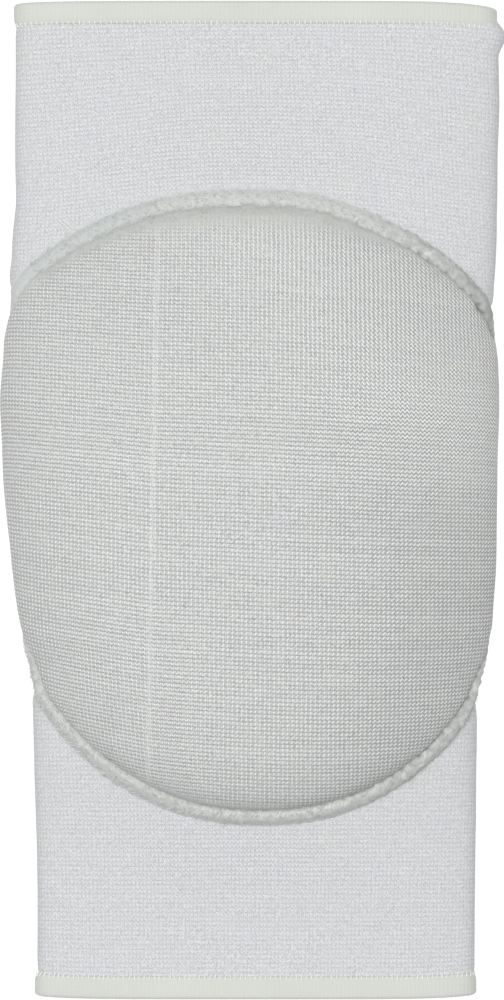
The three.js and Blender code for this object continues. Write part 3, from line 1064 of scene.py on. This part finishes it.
def padBody():
    piece = bpy.data.objects.new(pad["name"], nodes["pad"].data.copy())
    bpy.context.collection.objects.link(piece)
    piece.data.name = pad["name"]
    pickOnly(piece)
    bpy.ops.object.mode_set(mode="EDIT")
    bpy.ops.mesh.select_all(action="SELECT")
    bpy.ops.mesh.remove_doubles(threshold=0.01 * mm)
    bpy.ops.object.mode_set(mode="OBJECT")
    applyModifier(piece, "REMESH", mode="VOXEL", voxel_size=pad["voxel"], use_smooth_shade=True)
    applyModifier(piece, "SHRINKWRAP", target=nodes["pad"], wrap_method="NEAREST_SURFACEPOINT")
    applyModifier(piece, "SMOOTH", factor=0.5, iterations=4)
    points = trimmed(pointsOf(piece))
    across = seamPlaces(points)[1]
    movePoints(piece, cornerShift(points, eased(across, *pad["cornerFade"])))
    return piece


def swell(piece):
    # the cover starts slightly small, and its rim and back stay where they are sewn and lie
    knit = treeOf(sleevePiece)
    before = pointsOf(piece)
    far = np.array([knit.find_nearest(Vector(p))[3] for p in before])
    free = eased(far, pad["held"], 3 * pad["held"])
    start = before - normalsOf(piece) * (pad["shrink"] * free)[:, None]
    movePoints(piece, start)
    group = piece.vertex_groups.new(name="heldBySeam")
    for i, share in enumerate(free):
        group.add([i], 1 - float(share), "REPLACE")
    pickOnly(piece)
    bpy.ops.object.modifier_add(type="CLOTH")
    cloth = piece.modifiers[-1]
    cloth.settings.use_pressure = True
    cloth.settings.uniform_pressure_force = pad["pressure"]
    cloth.settings.effector_weights.gravity = 0
    cloth.settings.vertex_group_mass = "heldBySeam"
    cloth.settings.pin_stiffness = 5
    cloth.point_cache.frame_start = 1
    cloth.point_cache.frame_end = pad["frames"]
    for number in range(1, pad["frames"] + 1):
        bpy.context.scene.frame_set(number)
    bpy.ops.object.modifier_apply(modifier=cloth.name)
    bpy.context.scene.frame_set(1)
    piece.vertex_groups.clear()
    moved = pointsOf(piece) - start
    length = np.linalg.norm(moved, axis=1)
    print("  swelled by up to", round(length.max() / mm, 2), "mm")
    keep = np.minimum(1, pad["mostMove"] / np.maximum(length, 1e-9))
    movePoints(piece, start + moved * keep[:, None])


def crown(values, height):
    # the highest point of each narrow slice across values
    slices = np.linspace(values.min(), values.max(), pad["slices"])
    index = np.clip(np.digitize(values, slices), 1, len(slices) - 1)
    inSlice = [height[index == k] for k in range(1, len(slices))]
    top = np.array([found.max() if len(found) else np.nan for found in inSlice])
    middle = (slices[:-1] + slices[1:]) / 2
    known = ~np.isnan(top)
    return np.interp(values, middle[known], evened(top[known], pad["evenCrown"], False))


def padUv(piece):
    # the knit follows the plan, slips down the steep sides, and its rows sink to the right
    points = pointsOf(piece)
    x, y, z = points.T
    acrossDrop = np.maximum(crown(y, z) - z, 0)
    alongDrop = np.maximum(crown(x, z) - z, 0)
    middleY = (y.min() + y.max()) / 2
    half = (x.max() - x.min()) / 2
    stretch = np.where(x < 0, pad["stretchLeft"] * acrossDrop, pad["stretchRight"] * acrossDrop**2 / mm)
    u = x + np.tanh(x / pad["stretchFrom"]) * stretch
    # below its widest line the side turns back, and the knit runs on downwards
    turnedBack = eased(-normalsOf(piece)[:, 2], *pad["turnBack"])
    u += np.sign(x) * 2 * np.maximum(crown(y, np.abs(x)) - np.abs(x), 0) * turnedBack
    v = y + np.tanh((y - middleY) / pad["stretchFrom"]) * pad["alongStretch"] * alongDrop
    fromCrease = x - (pad["creaseX"] + pad["creaseSlope"] * y)
    v = v + fromCrease * np.where(fromCrease < 0, pad["rowSlopeLeft"], pad["rowSlopeRight"])
    v = v - pad["rowTwist"] * x**2 / (2 * half) * (pad["twistMiddle"] - y / half)
    layer = piece.data.uv_layers.new(name="clothMm")
    corner = np.empty(len(piece.data.loops), int)
    piece.data.loops.foreach_get("vertex_index", corner)
    uv = np.stack([u, v], axis=1)[corner] / mm
    layer.data.foreach_set("uv", uv.ravel())

    # the legs that slope down to the right show at the thigh end and low on the left
    side = x / half
    overEven = np.tanh((y - pad["evenLine"] - pad["evenLineSlope"] * x) / pad["evenReach"])
    calfLeft = eased(-side, *pad["calfLeftAcross"]) * eased(-y, *pad["calfLeftAlong"])
    calfLeft *= 1 - eased(-side, *pad["calfLeftEdge"])
    thighBalance = pad["balanceThighLeft"]
    thighBalance += (pad["balanceThighRight"] - thighBalance) * eased(side, *pad["balanceAcross"])
    balance = np.where(overEven > 0, thighBalance, pad["balance"]) * overEven
    balance += calfLeft * (pad["balanceCalfLeft"] - balance)
    slant = pad["slant"] + pad["slantRight"] * eased(side, *pad["slantAcross"])
    upperRight = eased(pad["weakRowsLean"] * side + y / half, *pad["weakRowsFrom"])
    rowShare = 1 - pad["weakRows"] * upperRight

    # under the pad's calf end the rows are drawn out to ribs
    ribs = eased(x, *pad["ribsFrom"]) * (1 - eased(x, *pad["ribsTo"])) * (y < pad["ribsBelow"])
    ribs = ribs * (1 - eased(np.abs(seamPlaces(points)[1]), *pad["ribsBeside"]))
    rowShare = rowShare * (1 - ribs)
    slant = slant * (1 - ribs)
    markPoints(piece, creaseOff=fromCrease / mm, balance=balance, slant=slant, rowShare=rowShare)


def tuckPad(piece):
    # the cover's foot runs out to the cord, where it is sewn in
    points = pointsOf(piece)
    station, across, height, far = seamPlaces(points)
    foot = (height < pad["tuckHeight"]) & (far < pad["tuckReach"] + seam["width"])
    reach = np.full(len(feet), -np.inf)
    np.maximum.at(reach, station[foot], across[foot])
    wide = seam["stationsPerStitch"]
    reach = np.array([np.roll(reach, shift) for shift in range(-wide, wide + 1)]).max(axis=0)
    reach = evened(reach, pad["evenTuck"], True)
    push = np.clip(pad["tuck"] - seam["width"] / 2 - reach, 0, pad["mostTuck"])
    share = 1 - eased(height, pad["tuckFoot"], pad["tuckHeight"])
    share *= eased(across, reach[station] - pad["tuckReach"], reach[station])
    share *= far < pad["tuckReach"] + 2 * seam["width"]
    movePoints(piece, points + awaySeam[station] * (push[station] * share)[:, None])
    print("  cover tucked in by", round(push.min() / mm, 2), "to", round(push.max() / mm, 2), "mm")


nap = {
    "along": (15 * mm, 48 * mm),  # it widens towards the thigh end
    "right": (8 * mm, 38 * mm),  # and is narrower at both sides
    "rightLess": 0.9,
    "left": (12 * mm, 40 * mm),
    "leftLess": 0.8,
    "inside": 0.4 * mm,
    "outside": 0.2 * mm,
    "least": 0.08,
    # how far from the cord its painted shade reaches
    "paintedShadeReach": (1.6 * mm, 3.0 * mm),
    "farAway": 30 * mm,
    "onSleeve": 1.0 * mm,
}


def markCloth(piece, reach):
    # brushed: where the pile hides the knit. The second mark is painted shade: the dark line in the
    # crease along the cord, where it is drawn tight
    points = pointsOf(piece)
    station, across, _, far = seamPlaces(points)
    beside = np.where(far > nap["farAway"], far, np.abs(across))
    inner, outer = cordReach(feet[station])
    edge = np.where(across < 0, inner, outer)
    top = eased(points[:, 1], *nap["along"]) * (1 - nap["rightLess"] * eased(points[:, 0], *nap["right"]))
    top *= 1 - nap["leftLess"] * eased(-points[:, 0], *nap["left"])
    wide = reach * (nap["least"] + (1 - nap["least"]) * top)
    brushed = 1 - eased(beside, edge - nap["inside"], edge + nap["outside"] + wide)
    # painted shade next to the cord, only where it is drawn tight
    paintedShade = (1 - eased(far, *nap["paintedShadeReach"])) * firmShare(points)
    markPoints(piece, brushed=brushed, seamShade=paintedShade)


padPiece = padBody()
swell(padPiece)
applyModifier(padPiece, "SUBSURF", levels=1, render_levels=1)
applyModifier(padPiece, "SMOOTH", factor=0.5, iterations=6)
tuckPad(padPiece)
applyModifier(padPiece, "SMOOTH", factor=0.5, iterations=2)
pickOnly(padPiece)
bpy.ops.object.shade_smooth()
padUv(padPiece)
markCloth(padPiece, pad["brushedReach"])
print("stage: pad filled,", len(padPiece.data.polygons), "faces")


# Cord: it covers the seam, and where it is soft it runs out over the cover

def pitShare(phase, turn):
    # where a stitch pulls the cord in, on its side towards the pad, some more than others
    off = np.abs((phase + 0.5) % 1 - 0.5) / seam["pitLength"]
    aside = (turn - seam["pitTurn"]) / seam["pitSpread"]
    depth = [0.55 + noise.noise(Vector((number * 0.83, 2.7, 0))) for number in np.floor(phase + 0.5)]
    return np.exp(-(off**2) - aside**2) * np.clip(depth, 0.1, 1)


def coverHeight(share, across):
    # how high the cover stands above the seam's foot, where it can be reached from above
    start = onSeam(share, across, np.full(len(share), seam["overCover"]))
    found = []
    for place, up in zip(start, interpRing(upSeam, share)):
        hit, normal, _, fall = coverTree.ray_cast(Vector(place), Vector(-up), 2 * seam["overCover"])
        isTop = hit is not None and normal.dot(Vector(up)) > 0.1
        found.append(seam["overCover"] - fall if isTop else np.nan)
    return np.array(found)


def cordShape(s, t):
    # a plump round top on a flat foot, swelling between the stitches
    turn = 2 * math.pi * t
    phase = s * stitches + seam["twist"] * (t - 0.25)
    foot = interpRing(feet, s)
    firm = firmShare(foot)
    soft = 1 - firm
    along = s * seamLength / mm * seam["lumpScale"]
    lumps = [noise.noise(Vector((a, 2 * math.cos(b), 2 * math.sin(b)))) for a, b in zip(along, turn)]
    swell = 1 + seam["bulge"] * -np.cos(2 * math.pi * phase)
    swell += (seam["lumps"] + seam["lumpsFirm"] * firm) * np.array(lumps)
    swell -= seam["pit"] * pitShare(phase, turn) * firm
    side = np.cos(turn)
    inner, outer = cordReach(foot)
    across = side * swell * np.where(side < 0, inner, outer)
    rise = np.sin(turn)
    fullness = np.where(side < 0, 1 - seam["flatTop"] * soft, 1 + seam["softFoot"] * soft)
    rise = np.where(rise > 0, np.abs(rise) ** fullness, rise)
    dip = seam["dipFirm"] + (1 - seam["dipFirm"]) * soft
    settled = 1 - seam["dip"] * dip * np.maximum(side, 0) ** 2
    full = np.where(rise > 0, seam["crown"] * swell, seam["belly"] * settled)
    height = rise * full + seam["middle"] * settled
    height *= seam["height"] * (1 - seam["softLow"] * soft * eased(foot[:, 1], *seam["lowFrom"]))

    laid = interpRing(laidShare, s)
    height += seam["flare"] * soft * (1 - laid) * np.maximum(rise, 0) * np.minimum(side, 0) ** 2
    height += seam["lift"]
    cover = coverHeight(s, across)
    cover = np.where(np.isnan(cover), height, cover)
    over = (height + cover + np.sqrt((height - cover) ** 2 + seam["fill"] ** 2)) / 2
    runOut = eased(-side, *seam["runOut"])
    over += (cover - seam["sunk"] - over) * runOut
    share = soft * laid * np.where(side < 0, np.where(rise > 0, 1, runOut), 0)
    height += (over - height) * share
    rough = [noise.noise(Vector(place * seam["napScale"])) for place in onSeam(s, across, height)]
    return onSeam(s, across, height + seam["nap"] * np.array(rough) * (rise > 0))


coverTree = treeOf(padPiece)
everyShare = np.arange(len(feet)) / len(feet)
reachable = ~np.isnan(coverHeight(everyShare, np.full(len(feet), seam["laidAcross"])))
laidShare = np.clip(evened(reachable.astype(float), seam["evenLaid"], True), 0, 1)
cordSize = (seamLength / mm, 9.0)
cordPiece = clothGrid(seam["name"], len(feet), seam["sides"], cordShape, cordSize, True)


def markCord():
    # pit: painted shade in the specks where a stitch pulls, and on the right side that turns from the
    # light. The two edges fade into the cloth.
    points = pointsOf(cordPiece)
    station, across, height, _ = seamPlaces(points)
    turn = np.arctan2(height - seam["lift"] - seam["height"] * seam["middle"], across) % (2 * math.pi)
    phase = station / seam["stationsPerStitch"] + seam["twist"] * (turn / (2 * math.pi) - 0.25)
    firm = firmShare(points)
    x, y, _ = points.T
    # painted shade on the right side, where the cord turns away from the light
    sidePaintedShade = seam["sidePaintedShade"] * eased(x, *seam["paintedShadeAcross"]) * eased(y, *seam["paintedShadeAlong"])
    pit = np.minimum(1, pitShare(phase, turn) * firm * seam["pitShow"] + sidePaintedShade)
    inner, outer = cordReach(feet[station])
    innerFrom, innerTo = seam["innerFade"]
    outerEdge = eased(across, outer - seam["outerFade"], outer) * (1 - firm)
    innerEdge = eased(-across, inner * innerFrom, inner * innerTo) * (1 - firm)
    cool = seam["cool"] * eased(-x, *seam["coolAcross"]) * eased(y, *seam["coolAlong"])
    markPoints(cordPiece, pit=pit, outerEdge=outerEdge, innerEdge=innerEdge, tight=firm, cool=cool)


markCord()
print("stage: seam corded,", stitches, "stitches,", round(seamLength / mm), "mm")


def overlockPaths():
    # thread ends that show over the cord towards the calf end
    cord = treeOf(cordPiece)
    chance = np.random.default_rng(5)
    paths = []
    count = round(seamLength / seam["threadStep"])
    steps = np.linspace(0, 1, seam["threadPoints"])
    outside, inside = np.array(seam["threadOutside"]), np.array(seam["threadInside"])
    for i in range(count):
        x, y, _ = interpRing(feet, np.array([i / count]))[0]
        isMissing = chance.random() < seam["threadGaps"]
        if y > seam["threadsBelow"] or x > seam["threadsLeftOf"] or isMissing:
            continue
        change = eased(x, *seam["threadChange"])
        start, end = outside * (1 - change) + inside * change
        drift, length = chance.uniform(-0.3, 0.3), chance.uniform(0.6, 1.2)
        share = ((i + drift) / count + seam["threadSlant"] / seamLength * (steps - 0.5)) % 1
        across = start + (end - start) * steps * length
        above = onSeam(share, across, np.full(len(steps), seam["threadLookFrom"]))
        up = interpRing(upSeam, share)
        hits = [cord.ray_cast(Vector(place), Vector(-away))[0] for place, away in zip(above, up)]
        if all(hits):
            sunk = seam["threadSunk"] * (2 * steps - 1) ** 4
            paths.append(np.array(hits) + up * (seam["threadProud"] - sunk)[:, None])
    return paths


overlock = threadPiece("seam_threads", overlockPaths(), seam["threadRadius"])
print("stage: overlock threads sewn")


# Pile: short fibres on the cord, and over the cover's brushed edge at the thigh end

def fibrePaths():
    chance = np.random.default_rng(11)
    cord, cover, knit = treeOf(cordPiece), treeOf(padPiece), treeOf(sleevePiece)
    paths = []
    while len(paths) < seam["fibres"]:
        share = chance.random(1)
        foot = interpRing(feet, share)[0]
        if abs(foot[0]) > seam["fibresWithin"]:
            continue
        isBrushed = foot[1] > seam["brushedFrom"] and chance.random() < seam["brushedFibres"]
        if isBrushed:
            across = -chance.uniform(*seam["brushedAcross"])
        else:
            across = chance.normal(*seam["fibresAcross"])
        place = onSeam(share, np.array([across]), np.array([seam["fibreLookFrom"]]))[0]
        down = Vector(-interpRing(upSeam, share)[0])
        hits = [tree.ray_cast(Vector(place), down) for tree in (cord, cover, knit)]
        hits = [hit for hit in hits if hit[0]]
        if not hits:
            continue
        hit, normal, _, _ = min(hits, key=lambda found: found[3])
        lay = Vector(chance.normal(0, 1, 3))
        lay = (lay - normal * lay.dot(normal)).normalized()
        length = seam["fibreLength"] * chance.uniform(0.5, 1.2)
        rise = chance.uniform(0.15, 0.6)
        middle = hit + lay * length / 2 + normal * length * rise * 0.7
        tip = hit + lay * length + normal * length * rise * chance.uniform(0.6, 1.1)
        paths.append(np.array([hit - normal * seam["fibreRoot"], middle, tip]))
    return paths


fuzz = threadPiece("seam_pile", fibrePaths(), seam["fibreRadius"], 0)
print("stage: pile brushed up,", len(fuzz.data.polygons), "faces")


# The knit round the seam, puckered and given its wall

def puckerSleeve():
    markCloth(sleevePiece, nap["onSleeve"])
    points = pointsOf(sleevePiece)
    station, _, _, far = seamPlaces(points)
    wave = np.sin(2 * math.pi * station / len(feet) * seamLength / sleeve["puckerStep"])
    rise = sleeve["pucker"] * wave * (1 - eased(far, *sleeve["puckerReach"]))
    wide, long = sleeve["rippleScale"]
    slow = np.array([noise.noise(Vector((x * wide, y * long, z * wide))) for x, y, z in points])
    rise = (rise + sleeve["ripple"] * slow) * eased(points[:, 2], *sleeve["stillBelow"])
    movePoints(sleevePiece, points + normalsOf(sleevePiece) * rise[:, None])
    thigh = eased(points[:, 1], *sleeve["balanceChange"])
    balance = sleeve["balanceCalf"] + (sleeve["balanceThigh"] - sleeve["balanceCalf"]) * thigh
    ends = 0
    for middle, reach in sleeve["strongPlaces"]:
        ends = ends + np.exp(-(((points[:, 1] - middle) / reach) ** 2))
    middleShare = np.exp(-((points[:, 0] / sleeve["strongWide"]) ** 2))
    slant = sleeve["slant"] + sleeve["strongSlant"] * ends * middleShare
    markPoints(sleevePiece, balance=balance, slant=slant, rowShare=np.ones(len(points)))


def bowRows():
    # near the thigh end the knit rows arch between the folds, and the columns lean
    layer = sleevePiece.data.uv_layers["clothMm"]
    corners = np.empty(len(layer.data) * 2)
    layer.data.foreach_get("uv", corners)
    corners = corners.reshape(-1, 2)
    around, along = corners.T
    girth, length = sleeve["girth"], sleeve["length"]
    around = (around + girth / 2) % girth - girth / 2
    steps = np.arange(-girth / 2, girth / 2 + 1)
    rise = np.cumsum(np.interp(steps, *np.array(sleeve["bow"]).T))
    rise -= np.interp(0, steps, rise)
    thigh = eased(along, *sleeve["bowFrom"]) * (1 - sleeve["bowLess"] * eased(along, *sleeve["bowTo"]))
    lean = sleeve["lean"] + sleeve["leanChange"] * around
    lean *= 1 - eased(np.abs(around), *sleeve["leanWithin"])
    stretched = along * (1 - sleeve["calfStretch"] * (1 - along / length / 2))
    fine = sleeve["thighFine"] * around * eased(along, *sleeve["fineFrom"])
    corners[:, 0] += lean * np.maximum(along - sleeve["leanFrom"], 0) + fine
    corners[:, 1] = stretched - np.interp(around, steps, rise) * thigh
    layer.data.foreach_set("uv", corners.ravel())


puckerSleeve()
bowRows()
applyModifier(sleevePiece, "SOLIDIFY", thickness=sleeve["wall"], offset=-1, use_even_offset=True)
print("stage: sleeve puckered")


# Hems: elastic tape folded over each rim and sewn down

hem = {
    "ringPoints": 248,
    "width": 5.6 * mm,
    "tape": 0.85 * mm,
    "gap": 0.06 * mm,
    "girth": 248.0,
    "stitchStep": 1.35 * mm,
    "stitchLength": 1.15 * mm,
    "stitchRadius": 0.14 * mm,
    "stitchRise": (0.3, 0.62, 0.55, 0.3, -0.1),  # mm above the knit, from the tape outwards
    "look": {
        "light": (0.61, 0.63, 0.58, 1),
        "dark": (0.51, 0.53, 0.485, 1),
        "ribStep": 1.1,  # mm
        "threadStep": 0.8,
        "ribs": 0.3,
        "threads": 0.12,
        "fibres": 0.6,
        "fibreScale": 1500.0,
        "patchScale": 60.0,
        "patches": 0.55,
        "contrast": 0.22,
        "ground": 0.15,
        "relief": 0.06 * mm,
        "roughness": 0.85,
        "sheen": 0.15,
    },
    "threadLook": {
        "light": (0.86, 0.87, 0.84, 1),
        "dark": (0.74, 0.75, 0.72, 1),
        "mottle": 0.5,
        "fibreScale": 2600.0,
        "patchScale": 500.0,
        "relief": 0.04 * mm,
        "roughness": 0.8,
        "sheen": 0.2,
    },
}


def ringNormals(ring):
    along = np.roll(ring, -1, axis=0) - np.roll(ring, 1, axis=0)
    normals = np.stack([-along[:, 1], along[:, 0]], axis=1)
    normals /= np.linalg.norm(normals, axis=1)[:, None]
    return evened(normals, 4, True)


def hemProfile():
    # (outside the knit's outer face, back from the rim), all round the folded tape
    wall, gap, tape = sleeve["wall"], hem["gap"], hem["tape"]
    foot = hem["width"] - gap - tape
    legs = np.array([0, 0.04, 0.1, 0.18, 0.3, 0.45, 0.6, 0.8, 1])
    rounds = [0.3 + 0.7 * math.sin(math.pi / 2 * min(1, 2.4 * a)) for a in legs]
    outer = [(gap + tape * full, foot * (1 - a)) for full, a in zip(rounds, legs)]
    middle, reach = -wall / 2, wall / 2 + gap + tape
    turns = math.pi / 2 - math.pi * np.linspace(0, 1, 9)[1:-1]
    rim = [(middle + reach * math.sin(a), -(gap + tape) * math.cos(a)) for a in turns]
    inner = [(-wall - gap - tape, foot * a) for a in np.linspace(0, 1, 5)]
    hidden = [(-wall - gap, foot), (-wall - gap, 0), (middle, -gap), (gap, 0), (gap, foot * 0.6)]
    end = [(gap, foot), (gap + tape * 0.08, foot + tape * 0.06), (gap + tape * 0.2, foot + tape * 0.05)]
    return np.array(outer + rim + inner + hidden + end)


def tapePiece(name, ring, sign):
    normals = ringNormals(ring)
    drop = sag[sign]
    profile = hemProfile()
    rimY = places[-1]

    def shape(s, t):
        out, back = interpRing(profile, t).T
        base = interpRing(ring, s)
        side = interpRing(normals, s)
        fall = interpRing(drop, s)
        flat = base + side * out[:, None]
        return np.stack([flat[:, 0], sign * (rimY - fall - back), flat[:, 1]], axis=1)

    piece = clothGrid(name, hem["ringPoints"], len(profile), shape, (hem["girth"], 15.0), True)
    pickOnly(piece)
    bpy.ops.object.shade_smooth_by_angle(angle=math.radians(50))
    return piece


def hemStitches(name, ring, sign):
    normals = ringNormals(ring)
    count = round(hem["girth"] * mm / hem["stitchStep"])
    rimY = places[-1]
    foot = hem["width"] - hem["gap"] - hem["tape"]
    paths = []
    for i in range(count):
        jitter = noise.noise(Vector((i * 0.61, 8.3 * sign, 0)))
        share = np.full(5, (i + 0.25 * jitter) / count % 1) + np.linspace(-0.0006, 0.0006, 5)
        share %= 1
        base, side, fall = (interpRing(values, share) for values in (ring, normals, sag[sign]))
        along = np.linspace(-0.5, 0.5, 5) * hem["stitchLength"] * (1 + 0.3 * jitter)
        flat = base + side * np.array(hem["stitchRise"])[:, None] * mm
        paths.append(np.stack([flat[:, 0], sign * (rimY - fall - foot - along), flat[:, 1]], axis=1))
    return threadPiece(name, paths, hem["stitchRadius"])


thighTape = tapePiece("thigh_tape", rings[-1], 1)
calfTape = tapePiece("calf_tape", rings[0], -1)
thighStitches = hemStitches("thigh_stitches", rings[-1], 1)
calfStitches = hemStitches("calf_stitches", rings[0], -1)
print("stage: hems sewn")


# Finishes, painted on each piece

sleevePaint = knitPaint("sleeveKnit", sleeve["look"])
padPaint = knitPaint("padKnit", pad["look"])
cordPaint = yarnPaint("seamYarn", seam["look"])
threadPaint = yarnPaint("seamThread", seam["threadLook"])
pilePaint = yarnPaint("seamPile", seam["pileLook"])
tapePaintWhite = tapePaint("hemTape", hem["look"])
stitchPaint = yarnPaint("hemThread", hem["threadLook"])

finishes = (
    (sleevePiece, sleevePaint, "sleeve_knit"),
    (padPiece, padPaint, "pad_cover"),
    (cordPiece, cordPaint, "seam_cord"),
    (overlock, threadPaint, "seam_cord"),
    (fuzz, pilePaint, "seam_cord"),
    (thighTape, tapePaintWhite, "hem_tape"),
    (calfTape, tapePaintWhite, "hem_tape"),
    (thighStitches, stitchPaint, "hem_tape"),
    (calfStitches, stitchPaint, "hem_tape"),
)
for piece, paint, slotName in finishes:
    paintWith(piece, paint)

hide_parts("sleeve")
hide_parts("pad")
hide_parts("pad_seam")
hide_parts("thigh_hem")
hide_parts("calf_hem")
print("stage: finished")
